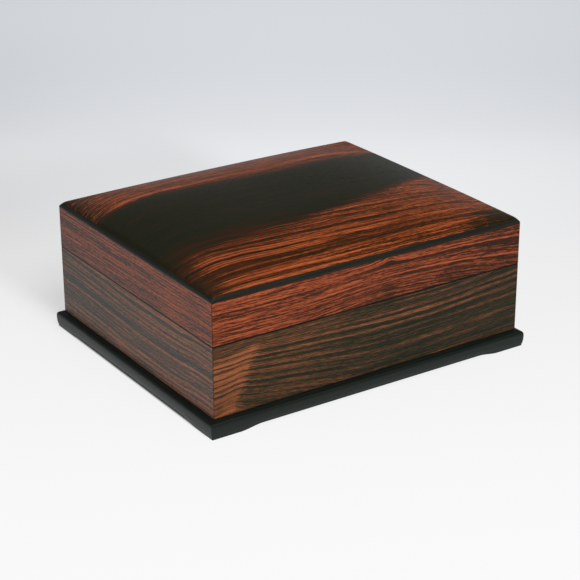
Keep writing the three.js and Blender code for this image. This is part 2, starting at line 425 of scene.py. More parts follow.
board_x = sine_line(slab_point["X"], half_length)
board_y = sine_line(slab_point["Y"], half_depth)
dome_top = use_group(board, dome, {"X": board_x, "Y": board_y})["Height"]
is_upper = calc(board, "GREATER_THAN", slab_point["Z"], 0.0)
above_low = minus(board, dome_top, board_in["Underside"])
board_z = times_plus(board, is_upper, above_low, board_in["Underside"])
board_place = vector(board, board_x, board_y, plus(board, board_z, board_in["Base"]))
domed = step(board, "GeometryNodeSetPosition", {"Geometry": slab, "Position": board_place})

# %% The rebate under the top board
REBATE_OVERLAP = 0.4 * MM

rebate_sizes = [
    times(board, minus(board, half_size, board_in["Rebate Inset"]), 2.0)
    for half_size in (half_length, half_depth)
]
rebate_top = plus(board, plus(board, board_in["Base"], board_in["Underside"]), REBATE_OVERLAP)
rebate_low = minus(board, board_in["Base"], board_in["Rebate Depth"])
rebate_tall = minus(board, rebate_top, rebate_low)
rebate = step(board, "GeometryNodeMeshCube", {"Size": vector(board, *rebate_sizes, rebate_tall)})
rebate_middle = vector(board, 0.0, 0.0, times_plus(board, rebate_tall, 0.5, rebate_low))
lowered = step(board, "GeometryNodeTransform", {"Geometry": rebate, "Translation": rebate_middle})
whole_board = add_node(board, "GeometryNodeMeshBoolean", operation="UNION", solver="EXACT")
for half_board in (domed, lowered):
    feed(board, whole_board.inputs["Mesh 2"], half_board)
finish_tree(board, whole_board.outputs["Mesh"], board_in["Material"], board_out["Geometry"])
print("top board:", len(board.nodes), "nodes")

# %% [markdown]
# All the striped wood is one timber, a dark rosewood, so its effects are shader groups that each board uses
# with its own values. A board is a solid block of grain: a place in it has a distance along the grain and a
# level across it, both in millimetres. Where the growth lines bend, only the level bends, and everything that
# is drawn on it bends with it.

# %% Rules through listed points
def rule(tree, value, points):
    """A curve through a few (place, height) points, as a Float Curve in the units of the points."""
    places = [place for place, _ in points]
    heights = [height for _, height in points]
    low, high = min(heights), max(heights)
    node = add_node(tree, "ShaderNodeFloatCurve")
    curve = node.mapping.curves[0]
    for _ in points[2:]:
        curve.points.new(0.5, 0.5)
    for point, (place, height) in zip(curve.points, points):
        point.location = ((place - places[0]) / (places[-1] - places[0]), (height - low) / (high - low))
        point.handle_type = "AUTO_CLAMPED"
    node.mapping.update()
    feed(tree, node.inputs["Value"], remap(tree, value, places[0], places[-1], soft=False))
    return times_plus(tree, node.outputs[0], high - low, low)


def mix(tree, share, low, high):
    """Plain blend of two numbers."""
    return times_plus(tree, share, minus(tree, high, low), low)


def mix_color(tree, share, first, second):
    node = add_node(tree, "ShaderNodeMix", data_type="RGBA")
    for number, value in ((0, share), (6, first), (7, second)):
        feed(tree, node.inputs[number], value)
    return node.outputs[2]


def object_place(tree):
    return add_node(tree, "ShaderNodeTexCoord").outputs["Object"]


def place_in_mm(tree):
    """The point on the piece, as three numbers in millimetres."""
    scale = {0: object_place(tree), "Scale": 1 / MM}
    return split(tree, step(tree, "ShaderNodeVectorMath", scale, operation="SCALE"))


# %% Streaks along the grain
GRAIN_PLACE = {"Along": (FLOAT, 0.0), "Level": (FLOAT, 0.0), "Depth": (FLOAT, 0.0)}


def noise(tree, place, detail, roughness=0.5):
    values = {"Vector": place, "Scale": 1.0, "Detail": detail, "Roughness": roughness}
    return step(tree, "ShaderNodeTexNoise", values)


streaks, streaks_in, streaks_out = new_group(
    "grain_streaks",
    "ShaderNodeTree",
    {
        **GRAIN_PLACE,
        "Length": (FLOAT, 80.0),
        "Pitch": (FLOAT, 1.5),
        "Seed": (FLOAT, 0.0),
        "Contrast": (FLOAT, 2.4),
    },
    {"Value": FLOAT},
)
streak_place = vector(
    streaks,
    over(streaks, streaks_in["Along"], streaks_in["Length"]),
    over(streaks, streaks_in["Level"], streaks_in["Pitch"]),
    times_plus(streaks, streaks_in["Depth"], 0.15, streaks_in["Seed"]),
)
swing = minus(streaks, noise(streaks, streak_place, 2.0, 0.55), 0.5)
feed(streaks, streaks_out["Value"], times(streaks, swing, streaks_in["Contrast"]))


def streak(tree, along, level, length, pitch, seed=0.0, depth=0.0, contrast=2.4):
    """Soft streaks of a length, and with a pitch across the grain, in millimetres."""
    values = {"Along": along, "Level": level, "Depth": depth, "Length": length, "Pitch": pitch}
    return use_group(tree, streaks, {**values, "Seed": seed, "Contrast": contrast})["Value"]

# %% Growth lines: fine, nearly even lines that wander, swell and fade
rings, rings_in, rings_out = new_group(
    "growth_lines",
    "ShaderNodeTree",
    {**GRAIN_PLACE, "Pitch": (FLOAT, 2.0), "Seed": (FLOAT, 0.0)},
    {"Value": FLOAT},
)
ring_place = {name.lower(): rings_in[name] for name in ("Along", "Level", "Depth", "Seed")}
wander = streak(rings, length=90.0, pitch=8.0, contrast=5.0, **ring_place)
swell = streak(rings, length=35.0, pitch=2.5, contrast=3.5, **ring_place)
line_number = plus(rings, over(rings, rings_in["Level"], rings_in["Pitch"]), wander)
turns = times(rings, line_number, math.tau)
overtone = calc(rings, "SINE", times(rings, turns, 2.0))
wave = times_plus(rings, overtone, 0.3, calc(rings, "SINE", turns))
strength = remap(rings, swell, -0.5, 0.5, 0.12, 0.7)
feed(rings, rings_out["Value"], times(rings, wave, strength))

# %% Pores: short dark dashes where the vessels of the wood are cut open
pores, pores_in, pores_out = new_group(
    "vessel_dashes",
    "ShaderNodeTree",
    {**GRAIN_PLACE, "Length": (FLOAT, 5.0), "Width": (FLOAT, 0.45), "Density": (FLOAT, 0.4)},
    {"Mask": FLOAT},
)
pore_place = vector(
    pores,
    over(pores, pores_in["Along"], pores_in["Length"]),
    over(pores, pores_in["Level"], pores_in["Width"]),
    over(pores, pores_in["Depth"], pores_in["Length"]),
)
threshold = times_plus(pores, pores_in["Density"], -0.3, 0.74)
pore_edge = plus(pores, threshold, 0.1)
feed(pores, pores_out["Mask"], remap(pores, noise(pores, pore_place, 1.0), threshold, pore_edge))

# %% From tone to the colours of the timber
def palette(*shades):
    """The colours of a timber from its darkest lines to its brightest."""
    return {name: (*shade, 1.0) for name, shade in zip(("Black", "Brown", "Red", "Orange"), shades)}


OWN_COLOURS = palette((0.016, 0.018, 0.014), (0.055, 0.024, 0.014), (0.16, 0.048, 0.022), (0.45, 0.13, 0.045))
timber, timber_in, timber_out = new_group(
    "timber_colour",
    "ShaderNodeTree",
    {"Tone": (FLOAT, 0.5), **{name: (COLOR, colour) for name, colour in OWN_COLOURS.items()}},
    {"Color": COLOR},
)
timber_color = timber_in["Black"]
for name, low, high in (("Brown", 0.0, 0.3), ("Red", 0.25, 0.6), ("Orange", 0.5, 1.0)):
    share = remap(timber, timber_in["Tone"], low, high, soft=False)
    timber_color = mix_color(timber, share, timber_color, timber_in[name])
feed(timber, timber_out["Color"], timber_color)

# %% Arrises: how near a point lies to the outer corners and rims of a box
arris, arris_in, arris_out = new_group(
    "arris_distance",
    "ShaderNodeTree",
    {
        "X": (FLOAT, 0.0),
        "Y": (FLOAT, 0.0),
        "Z": (FLOAT, 0.0),
        "Half Length": (FLOAT, half_length / MM),
        "Half Depth": (FLOAT, half_depth / MM),
        "Low": (FLOAT, 0.0),
        "High": (FLOAT, 100.0),
        "Width": (FLOAT, 0.5),
    },
    {"Corner": FLOAT, "Rim": FLOAT},
)
to_end = minus(arris, arris_in["Half Length"], size_of(arris, arris_in["X"]))
to_face = minus(arris, arris_in["Half Depth"], size_of(arris, arris_in["Y"]))
to_high = size_of(arris, minus(arris, arris_in["High"], arris_in["Z"]))
to_low = size_of(arris, minus(arris, arris_in["Z"], arris_in["Low"]))
to_wall = smaller(arris, to_end, to_face)
to_rim = larger(arris, to_wall, smaller(arris, to_low, to_high))
to_corner = larger(arris, to_end, to_face)
feed(arris, arris_out["Corner"], remap(arris, to_corner, 0.0, arris_in["Width"], 1.0, 0.0))
feed(arris, arris_out["Rim"], remap(arris, to_rim, 0.0, arris_in["Width"], 1.0, 0.0))


def near_arris(tree, x, y, z, heights, width, overhang=0.0):
    """How near the point lies to the corners of the box, and to its rims at two heights."""
    low, high = heights
    values = {"X": x, "Y": y, "Z": z, "Low": low / MM, "High": high / MM, "Width": width}
    outline = {"Half Length": (half_length + overhang) / MM, "Half Depth": (half_depth + overhang) / MM}
    return use_group(tree, arris, {**values, **outline})


print("node groups:", [group.name for group in bpy.data.node_groups])

# %% [markdown]
# A board's finish is the same everywhere. The tone of its figure is broken up by bands, lines and short
# fibres of the grain, and by pores, and is then turned into a colour under a thin satin oil finish. The pores
# are cut a little into the surface by a bump. A fine dark line is painted along the seams as painted shade,
# and along the mitres as a dark glue line. The figure itself differs from board to board, so it comes in
# as a function.

# %% One recipe for every striped board
# The colour of the painted shade along the seams and of the dark glue line in the mitres.
SEAM_SHADE_AND_GLUE = (0.006, 0.004, 0.003, 1.0)
SHADE_AND_GLUE_WIDTH = 1.1
MITRE_GLUE_SHARE = 0.5
PORE_DULLNESS = 0.18
FIBRE_DULLNESS = 0.06
FIBRE_RELIEF = 0.35
BUMP_DEPTH = 0.05 * MM

# How much each part of the grain counts.
TOP_GRAIN = {"bands": 0.26, "rings": 0.36, "lines": 0.62, "fibres": 0.55, "pores": 0.35}
LID_GRAIN = {"bands": 0.16, "rings": 0.34, "lines": 0.85, "fibres": 0.7, "pores": 0.4}
CASE_GRAIN = {"bands": 0.26, "rings": 0.18, "lines": 0.55, "fibres": 0.5, "pores": 0.35}
SIDE_GRAIN = {"bands": 0.3, "rings": 0.34, "lines": 1.1, "fibres": 1.0, "pores": 0.5}
FAINT_GRAIN = {"bands": 0.2, "rings": 0.08, "lines": 0.2, "fibres": 0.15, "pores": 0.2}

# The length of each kind of streak, its pitch across the grain, and its seed.
STREAK_SIZES = {"bands": (140.0, 2.2, 0.0), "lines": (40.0, 0.8, 7.0), "fibres": (5.0, 0.5, 13.0)}


def new_wood(name):
    """A material with its tree and its shader."""
    material = bpy.data.materials.new(name)
    material.use_nodes = True
    return material, material.node_tree, material.node_tree.nodes["Principled BSDF"]


def finish_wood(tree, shader, color, roughness, gloss, relief, strength):
    """Feeds the shader. Gloss is the same all over, so it is set on the shader itself."""
    feed(tree, shader.inputs["Base Color"], color)
    feed(tree, shader.inputs["Roughness"], roughness)
    shader.inputs["Specular IOR Level"].default_value = gloss
    bump = {"Height": relief, "Strength": strength, "Distance": BUMP_DEPTH}
    feed(tree, shader.inputs["Normal"], step(tree, "ShaderNodeBump", bump))


def striped_wood(name, figure, colours, shares, rough=0.42, gloss=0.12, joints=None):
    """Wood with a figure, in the colours of a timber. Shares say how much each part of the grain counts, and
    joints are the heights of the two rims where the board meets others."""
    material, tree, shader = new_wood(name)
    x, y, z = place_in_mm(tree)
    along, level, depth, tone, lively = figure(tree, x, y, z)
    place = {"along": along, "level": level, "depth": depth}
    grain = {name.capitalize(): value for name, value in place.items()}
    parts = {
        part: streak(tree, length=length, pitch=pitch, seed=seed, **place)
        for part, (length, pitch, seed) in STREAK_SIZES.items()
    }
    parts["rings"] = use_group(tree, rings, grain)["Value"]
    dashes = use_group(tree, pores, grain)["Mask"]
    grey = times(tree, dashes, -shares["pores"])
    for part, value in parts.items():
        grey = times_plus(tree, value, shares[part], grey)
    color = use_group(tree, timber, {"Tone": times_plus(tree, grey, lively, tone), **colours})["Color"]
    # Painted shade darkens the wood along the seams, and a dark glue line runs down the mitres.
    if joints:
        near = near_arris(tree, x, y, z, joints, SHADE_AND_GLUE_WIDTH)
        seam_shade_and_glue = larger(tree, times(tree, near["Corner"], MITRE_GLUE_SHARE), near["Rim"])
        color = mix_color(tree, seam_shade_and_glue, color, SEAM_SHADE_AND_GLUE)
    between_pores = times_plus(tree, parts["fibres"], FIBRE_DULLNESS, rough)
    roughness = times_plus(tree, dashes, PORE_DULLNESS, between_pores)
    relief = times_plus(tree, dashes, -1.0, times(tree, parts["fibres"], FIBRE_RELIEF))
    finish_wood(tree, shader, color, roughness, gloss, relief, strength=0.25)
    print(name, len(tree.nodes), "nodes")
    return material


# %% [markdown]
# The top board shows the timber at its best. A broad black heart runs from end to end, and orange and brown
# lines sweep round it, dipping towards the front at the left. A photograph could be projected on it, but a
# finish that is drawn from rules stays sharp from any side. Each rule is a short curve through listed points:
# how the lines in front of the heart and behind it bend, where the heart begins and ends, and how light each
# level is.

# %% Figure of the top board
FRONT_BEND = [
    (-140, 0), (-115, 0), (-100, -2), (-80, -6), (-60, -10), (-40, -12), (0, -15), (50, -17.5), (140, -16),
]
BACK_BEND = [(-140, 0), (-90, 0), (-40, -4), (0, -6), (20, -5.5), (60, 0), (100, 3), (140, 4)]
FRONT_FOLLOW = [
    (-117, 0), (-113.5, 0.05), (-110, 0.2), (-103, 0.2), (-97, 0.35), (-91, 0.55), (-85, 0.75), (-80, 0.87),
    (-74, 0.96), (-65, 1), (60, 1),
]
LEFT_DROP = [(-117, 2), (-80, 3.5), (-55, 4.5), (60, 16), (90, 18), (117, 18)]
HEART_BACK = [
    (-140, 55), (-130, 58.5), (-120, 62), (-100, 65.5), (-80, 64), (-40, 56), (0, 51.5), (40, 51), (80, 57),
    (140, 66),
]
HEART_FRONT = [
    (-140, -64), (-130, -57), (-118, -53), (-95, -53), (-60, -56), (-35, -55), (0, -48), (40, -42),
    (60, -36), (80, -29), (110, -16), (140, -2),
]
LEFT_TONES = [
    (-117, 0.5), (-114.5, 0.6), (-113.2, 0.85), (-112, 0.7), (-110.8, 0.62), (-109.4, 0.3), (-108, 0.45),
    (-106.3, 0.6), (-105, 0.84), (-103.2, 0.5), (-101.6, 0.8), (-100.2, 0.36), (-99, 0.48), (-97.6, 0.3),
    (-96.2, 0.12), (-94, 0.2), (-92.3, 0.3), (-91, 0.52), (-89.6, 0.34), (-88, 0.18), (-86, 0.32),
    (-84.3, 0.16), (-82.8, 0.4), (-81.4, 0.78), (-79.9, 0.42), (-78.5, 0.84), (-77.1, 0.42), (-75.8, 0.74),
    (-74.6, 0.2), (-73.3, 0.06), (-71.9, 0.3), (-70.8, 0.8), (-69.6, 0.88), (-68.3, 0.42), (-67, 0.9),
    (-65.7, 0.6), (-64.5, 0.3), (-63.2, 0.52), (-61.9, 0.28), (-60.5, 0.54), (-59.2, 0.16), (-57.2, 0.1),
    (-55.8, 0.4), (-54.6, 0.6), (-53.2, 0.3), (-51.8, 0.48), (-50.3, 0.12), (-48.4, 0.5), (-46.8, 0.14),
    (-44.8, 0.52), (-43.2, 0.16), (-41, 0.62), (-39.4, 0.3), (-37.8, 0.55), (-36, 0.14), (-33.4, 0.48),
    (-31.6, 0.1), (-28.6, 0.42), (-26, 0.1), (-20, 0.25),
]
RIGHT_TONES = [
    (-117, 0.6), (-113.4, 0.6), (-112.4, 0.72), (-110.9, 0.3), (-109.6, 0.66), (-107.2, 0.28),
    (-105.6, 0.64), (-104, 0.34), (-102, 0.5), (-98.6, 0.56), (-95.3, 0.4), (-91.5, 0.14), (-88, 0.2),
    (-85, 0.46), (-82.4, 0.4), (-79.5, 0.2), (-76, 0.36), (-73, 0.76), (-70.3, 0.74), (-67.6, 0.34),
    (-65.4, 0.5), (-63.3, 0.7), (-60.6, 0.55), (-56.8, 0.16), (-54.6, 0.42), (-52.6, 0.6), (-50.6, 0.44),
    (-48.6, 0.52), (-46.5, 0.46), (-44, 0.4), (-41, 0.64), (-38.4, 0.2), (-36.5, 0.42), (-34, 0.66),
    (-31.5, 0.38), (-28, 0.42), (-20, 0.45),
]
BACK_TONES = [
    (50, 0.25), (64, 0.3), (67, 0.42), (69, 0.58), (71.5, 0.68), (73.5, 0.56), (75.5, 0.44), (77.5, 0.4),
    (79, 0.54), (81, 0.52), (83, 0.4), (85.5, 0.47), (87.5, 0.42), (90, 0.52), (91.5, 0.64), (93, 0.52),
    (95, 0.42), (98, 0.5), (101, 0.54), (104, 0.44), (110, 0.42), (117, 0.38),
]


def top_figure(tree, x, y, z):
    at_left = remap(tree, x, -92.0, -140.0, soft=False)
    drop = times(tree, times(tree, at_left, at_left), rule(tree, y, LEFT_DROP))
    wobble = streak(tree, x, y, length=38.0, pitch=9.0, seed=3.0)
    unbent = times_plus(tree, wobble, 1.2, plus(tree, y, drop))
    front_bend = times(tree, rule(tree, x, FRONT_BEND), rule(tree, y, FRONT_FOLLOW))
    front_level = minus(tree, unbent, front_bend)
    back_level = minus(tree, unbent, rule(tree, x, BACK_BEND))
    behind = remap(tree, y, -20.0, 40.0)
    level = mix(tree, behind, front_level, back_level)

    # Towards the right the bold lines in front of the heart split into finer ones, which fade into brown.
    at_right = remap(tree, x, -55.0, 15.0)
    bold, split_up = rule(tree, front_level, LEFT_TONES), rule(tree, front_level, RIGHT_TONES)
    front_tone = mix(tree, at_right, bold, split_up)
    front_tone = mix(tree, remap(tree, x, 10.0, 110.0, 0.0, 0.6), front_tone, 0.42)
    calm = remap(tree, x, -75.0, -40.0, 0.76, 1.0)
    front_tone = mix(tree, calm, 0.46, front_tone)
    fine = times(tree, remap(tree, x, -85.0, -35.0, 0.55, 1.0), remap(tree, x, 20.0, 90.0, 0.95, 1.25))
    fine = mix(tree, behind, fine, remap(tree, x, -30.0, -90.0, 1.0, 1.25))
    strength = remap(tree, x, -62.0, -98.0, 0.7, 1.4)
    back_tone = mix(tree, strength, 0.49, rule(tree, back_level, BACK_TONES))
    lighter = larger(tree, remap(tree, x, 50.0, 90.0, 0.0, 0.04), times(tree, behind, 0.025))
    tone = plus(tree, mix(tree, behind, front_tone, back_tone), lighter)

    # At the right-hand front corner the lines turn olive and dark, one after another, beside a bright patch.
    ragged = streak(tree, x, level, length=60.0, pitch=1.6, seed=11.0)
    frayed = times_plus(tree, ragged, 40.0, x)
    corner = times(tree, remap(tree, frayed, 82.0, 122.0), remap(tree, y, -92.0, -99.0))
    patch = times(tree, remap(tree, x, 40.0, 80.0), remap(tree, y, -98.0, -102.0))
    patch = times(tree, patch, remap(tree, y, -107.5, -104.5))
    tone = times_plus(tree, corner, -0.45, times_plus(tree, patch, 0.14, tone))

    # The heart's edge is ragged and soft. Near the left end some of the lines in front of it glow through.
    softness = remap(tree, x, -60.0, 120.0, 7.0, 8.5)
    edge = times_plus(tree, ragged, 8.0, y)
    to_back = over(tree, minus(tree, rule(tree, x, HEART_BACK), edge), softness)
    to_front = over(tree, minus(tree, edge, rule(tree, x, HEART_FRONT)), softness)
    heart = times(tree, remap(tree, to_back, -0.8, 1.0), remap(tree, to_front, -0.8, 1.0))
    smoke = streak(tree, x, level, length=70.0, pitch=3.5, seed=5.0)
    glow = times(tree, remap(tree, x, 10.0, -80.0, 0.0, 0.42), remap(tree, y, -22.0, -46.0))
    ember = times(tree, tone, plus(tree, glow, 0.02))
    tone = mix(tree, heart, tone, times_plus(tree, smoke, 0.2, ember))

    # Painted shade: towards the rolled edge at the left the tone is made darker.
    tone = times(tree, tone, remap(tree, x, -138.0, -114.0, 0.35, 1.0))
    return x, level, z, tone, times(tree, fine, times_plus(tree, heart, -0.9, 1.0))


# %% [markdown]
# The walls are cut from quieter wood. On the lid the lines are fine and close, with a low crest a little
# right of the middle. The case below is darker, with olive bands that climb to a crest at the left and fall
# away to the right. Eight figures could be drawn one by one, but one function serves all the walls: it is
# given the bends of the lines, the tones from bottom to top at both ends, and the side that the wall faces.

# %% Figure of the walls
LID_BEND = [
    (-140, 0.7), (-100, 0.2), (-60, 0), (-40, 0.9), (-20, 2), (0, 3), (15, 3.5), (30, 3.2), (60, 1.8),
    (80, 0.5), (100, -1.4), (140, -4.6),
]
LID_CREST = [(-30, 0), (-10, 0.2), (0, 0.7), (9, 1.7), (15, 2.3), (21, 1.3), (30, 0.5), (45, 0), (60, 0)]
LID_LEFT_TONES = [
    (50, 0.5), (57.5, 0.45), (58.5, 0.62), (59.6, 0.45), (60.6, 0.68), (61.6, 0.48), (62.6, 0.6),
    (63.6, 0.38), (64.6, 0.58), (65.6, 0.38), (66.8, 0.65), (68, 0.42), (69.2, 0.78), (70.2, 0.5),
    (71.1, 0.64), (72.3, 0.88), (73.4, 0.5), (74.3, 0.28), (75.3, 0.6), (76.1, 0.45), (77, 0.15),
    (78.2, 0.58), (79.2, 0.4), (80.2, 0.28), (81.3, 0.85), (82.2, 0.45), (83.1, 0.8), (84, 0.45),
    (85, 0.75), (86.1, 0.3), (87.1, 0.7), (88, 0.42), (89.1, 0.85), (90.2, 0.5), (97, 0.6),
]
LID_RIGHT_TONES = [
    (50, 0.4), (57, 0.42), (58.2, 0.28), (59.4, 0.5), (60.6, 0.3), (62, 0.54), (63.2, 0.3), (64.8, 0.54),
    (66.2, 0.25), (67.8, 0.58), (69, 0.35), (70.6, 0.08), (71.6, 0.3), (72.7, 0.95), (74, 0.45),
    (75.2, 0.62), (76.4, 0.35), (77.2, 0.62), (78.2, 0.38), (79.3, 0.62), (80.4, 0.3), (81.9, 0.06),
    (83.1, 0.45), (84.3, 0.9), (85.6, 0.45), (86.9, 0.75), (88, 0.35), (89.2, 0.62), (90.6, 0.4), (97, 0.5),
]
CASE_DROP = [
    (-140, 5.2), (-128, 5.6), (-118, 6.5), (-110, 7.2), (-101, 6.3), (-88, 5.1), (-71, 3.9), (-53, 2.85),
    (-29, 1.5), (-3, 0.3), (10, 0), (140, 0),
]
CASE_RISE = [(-140, 0), (0, 0), (30, -0.3), (50, 0), (75, 1.1), (100, 2.7), (140, 5.4)]
CASE_LEFT_TONES = [
    (-20, 0.35), (-17, 0.4), (-14.5, 0.2), (-12, 0.36), (-9, 0.2), (-6, 0.34), (-3.5, 0.2), (-1.5, 0.38),
    (1.2, 0.36), (3.7, 0.18), (5.4, 0.38), (7, 0.32), (8.6, 0.08), (10.2, 0.26), (11.9, 0.42), (13.5, 0.32),
    (14.7, 0.12), (16, 0.36), (18.7, 0.4), (20, 0.32), (21, 0.12), (22.3, 0.34), (25.1, 0.54), (26.8, 0.32),
    (28, 0.1), (29.3, 0.32), (30.6, 0.4), (31.6, 0.3), (32.4, 0.12), (33.4, 0.42), (34.5, 0.6),
    (35.8, 0.36), (37, 0.12), (38.7, 0.12), (39.7, 0.46), (40.7, 0.62), (42, 0.44), (45.3, 0.36),
    (47, 0.44), (48.4, 0.42), (50.3, 0.28), (52.4, 0.58), (53.5, 0.42), (54.6, 0.3), (60, 0.4),
]
CASE_RIGHT_TONES = [
    (-20, 0.3), (-2, 0.3), (2, 0.28), (4.5, 0.1), (7, 0.05), (8.6, 0.2), (10, 0.3), (11.5, 0.15),
    (13.5, 0.03), (15.3, 0.1), (17, 0.34), (18.5, 0.2), (20, 0.05), (22.5, 0.1), (25, 0.1), (27, 0.2),
    (28.5, 0.33), (30, 0.2), (32, 0.03), (33.6, 0.2), (35.2, 0.56), (36.4, 0.25), (38, 0.05), (39.4, 0.4),
    (41, 0.6), (42.2, 0.3), (43, 0.1), (44.3, 0.3), (46, 0.44), (47.5, 0.25), (49, 0.14), (51, 0.2),
    (52.3, 0.34), (53.4, 0.12), (55, 0.3), (56, 0.18), (60, 0.25),
]
WALL_BASE = plinth_high / MM
SIDE_NAMES = ("front", "right", "back", "left")
LONG_SIDES = ("front", "back")


def wall_figure(bends, left_tones, right_tones, side, shift, contrast, ends, crest=False):
    """Lines that run along a wall, with one list of tones at its left end and one at its right. Each bend is
    a rule, the height at which it counts in full, and how fast it grows downwards. The two ends are each made
    a little lighter or darker, and shift moves the lines of a side that is out of sight."""
    middle = sum(height for _, height in left_tones + right_tones) / len(left_tones + right_tones)
    lengthwise = side in LONG_SIDES
    face = (half_depth if lengthwise else half_length) / MM

    def figure(tree, x, y, z):
        along, depth = (x, y) if lengthwise else (y, x)
        if side in ("back", "right"):
            along = times(tree, along, -1.0)
        height = minus(tree, z, WALL_BASE)
        sway = streak(tree, along, height, length=22.0, pitch=7.0)
        height = times_plus(tree, sway, 0.6, height)
        ripple = streak(tree, along, height, length=7.0, pitch=2.5, seed=4.0)
        height = times_plus(tree, ripple, 0.25, height)
        slant = times_plus(tree, minus(tree, 40.0, height), 0.4, along) if crest else along
        inside = minus(tree, size_of(tree, depth), face)
        level = times_plus(tree, inside, 0.7, height)
        for bend, pivot, lean in bends:
            growth = times_plus(tree, minus(tree, pivot, height), lean, 1.0)
            growth = larger(tree, growth, 0.0)
            level = minus(tree, level, times(tree, rule(tree, slant, bend), growth))
        shifted = plus(tree, level, shift)
        at_right = remap(tree, along, -60.0, 20.0)
        tone = mix(tree, at_right, rule(tree, shifted, left_tones), rule(tree, shifted, right_tones))
        tone = times_plus(tree, tone, contrast, middle * (1 - contrast))
        lively = 1.0
        if crest:
            # At the left end a pale patch ends in a crest, and it is brightest along its edge.
            lively = remap(tree, along, 20.0, 90.0, 1.0, 0.82)
            tone = mix(tree, lively, middle, tone)
            edge = times_plus(tree, minus(tree, 47.0, height), 0.4, along)
            edge = times_plus(tree, ripple, 6.0, edge)
            top_of_patch = times_plus(tree, plus(tree, along, 108.0), -0.2, height)
            pale = times(tree, remap(tree, edge, -98.0, -108.0), remap(tree, top_of_patch, 52.0, 47.0))
            rim = times(tree, remap(tree, edge, -125.0, -107.0, 0.0, 0.1), pale)
            tone = mix(tree, pale, tone, times_plus(tree, tone, 1.4, 0.22))
            tone = plus(tree, tone, rim)
        start = 0.0 if lengthwise else -face
        tone = plus(tree, tone, remap(tree, along, start, 140.0, *ends))
        return along, level, depth, tone, lively

    return figure


# %% [markdown]
# The lid is redder and the case is browner and more olive, as two planks of one timber often are. Front and
# back show the long flowing lines, and the two ends show straighter and more broken ones. The sides that
# nobody sees from the front get the same lines, shifted, so that no two walls are alike.

# %% Striped boards: their colours, and the figure of the two ends
LID_COLOURS = palette(
    (0.026, 0.0105, 0.0035), (0.067, 0.0185, 0.006), (0.176, 0.037, 0.0137), (0.475, 0.1, 0.031)
)
CASE_COLOURS = palette(
    (0.0108, 0.0142, 0.0055), (0.0435, 0.0285, 0.0125), (0.123, 0.048, 0.0195), (0.37, 0.115, 0.041)
)
TOP_COLOURS = palette(
    (0.0102, 0.0126, 0.0036), (0.05, 0.0125, 0.0022), (0.165, 0.036, 0.0095), (0.56, 0.125, 0.034)
)
SHIFTS = dict(zip(SIDE_NAMES, (0.0, 2.3, -3.1, 0.0)))
SIDE_LID_BEND = [(-117, 0.8), (-60, 0.2), (0, 0), (60, -0.4), (117, -0.6)]
SIDE_CASE_BEND = [(-117, 1.2), (-99, 1), (-64, -1.2), (-14, -1.8), (36, -0.5), (96, 1.4), (117, 2)]
SIDE_LID_TONES = [
    (50, 0.5), (57.8, 0.52), (58.8, 0.35), (60, 0.62), (61, 0.4), (62.4, 0.66), (63.6, 0.4), (64.8, 0.6),
    (66, 0.34), (67.3, 0.62), (68.3, 0.4), (69.5, 0.72), (71, 0.6), (72, 0.45), (73.5, 0.66), (74.5, 0.5),
    (75.7, 0.76), (77, 0.6), (78, 0.42), (79, 0.66), (80.3, 0.22), (81.5, 0.6), (82.5, 0.4), (84, 0.72),
    (85, 0.5), (86.3, 0.78), (87.5, 0.45), (88.5, 0.64), (90, 0.6), (97, 0.6),
]
SIDE_CASE_TONES = [
    (-4, 0.4), (0, 0.35), (1.5, 0.4), (3, 0.5), (4.3, 0.35), (5.5, 0.56), (6.8, 0.3), (8, 0.4), (9.2, 0.7),
    (10.2, 0.5), (11.5, 0.35), (12.8, 0.68), (14, 0.55), (15, 0.3), (16.5, 0.15), (18, 0.44), (19.5, 0.25),
    (21, 0.42), (22.5, 0.25), (24, 0.42), (25.5, 0.3), (27, 0.4), (28, 0.68), (29.3, 0.4), (30.5, 0.12),
    (32.5, 0.08), (34.5, 0.25), (36.5, 0.35), (38, 0.52), (39.5, 0.36), (41, 0.25), (42.3, 0.72),
    (43.3, 0.46), (45, 0.2), (46.3, 0.58), (47.5, 0.4), (48.8, 0.62), (50.5, 0.2), (52, 0.12), (53.5, 0.58),
    (55, 0.62), (58, 0.4), (64, 0.4),
]

# %% Striped boards: their materials
materials = {"top": striped_wood("striped_top", top_figure, TOP_COLOURS, TOP_GRAIN, rough=0.36, gloss=0.1)}
figures = {
    ("lid", "long"): {
        "bends": [(LID_BEND, 74, 0.05), (LID_CREST, 86, -0.25)],
        "left_tones": LID_LEFT_TONES,
        "right_tones": LID_RIGHT_TONES,
        "contrast": 0.8,
        "ends": (0.012, -0.085),
    },
    ("case", "long"): {
        "bends": [(CASE_DROP, 42, 0.05), (CASE_RISE, 42, -0.013)],
        "left_tones": CASE_LEFT_TONES,
        "right_tones": CASE_RIGHT_TONES,
        "contrast": 1.05,
        "ends": (0.025, 0.012),
        "crest": True,
    },
    ("lid", "short"): {
        "bends": [(SIDE_LID_BEND, 0, 0)],
        "left_tones": SIDE_LID_TONES,
        "right_tones": SIDE_LID_TONES,
        "contrast": 1.3,
        "ends": (0.035, -0.14),
    },
    ("case", "short"): {
        "bends": [(SIDE_CASE_BEND, 0, 0)],
        "left_tones": SIDE_CASE_TONES,
        "right_tones": SIDE_CASE_TONES,
        "contrast": 1.45,
        "ends": (0.11, -0.09),
    },
}

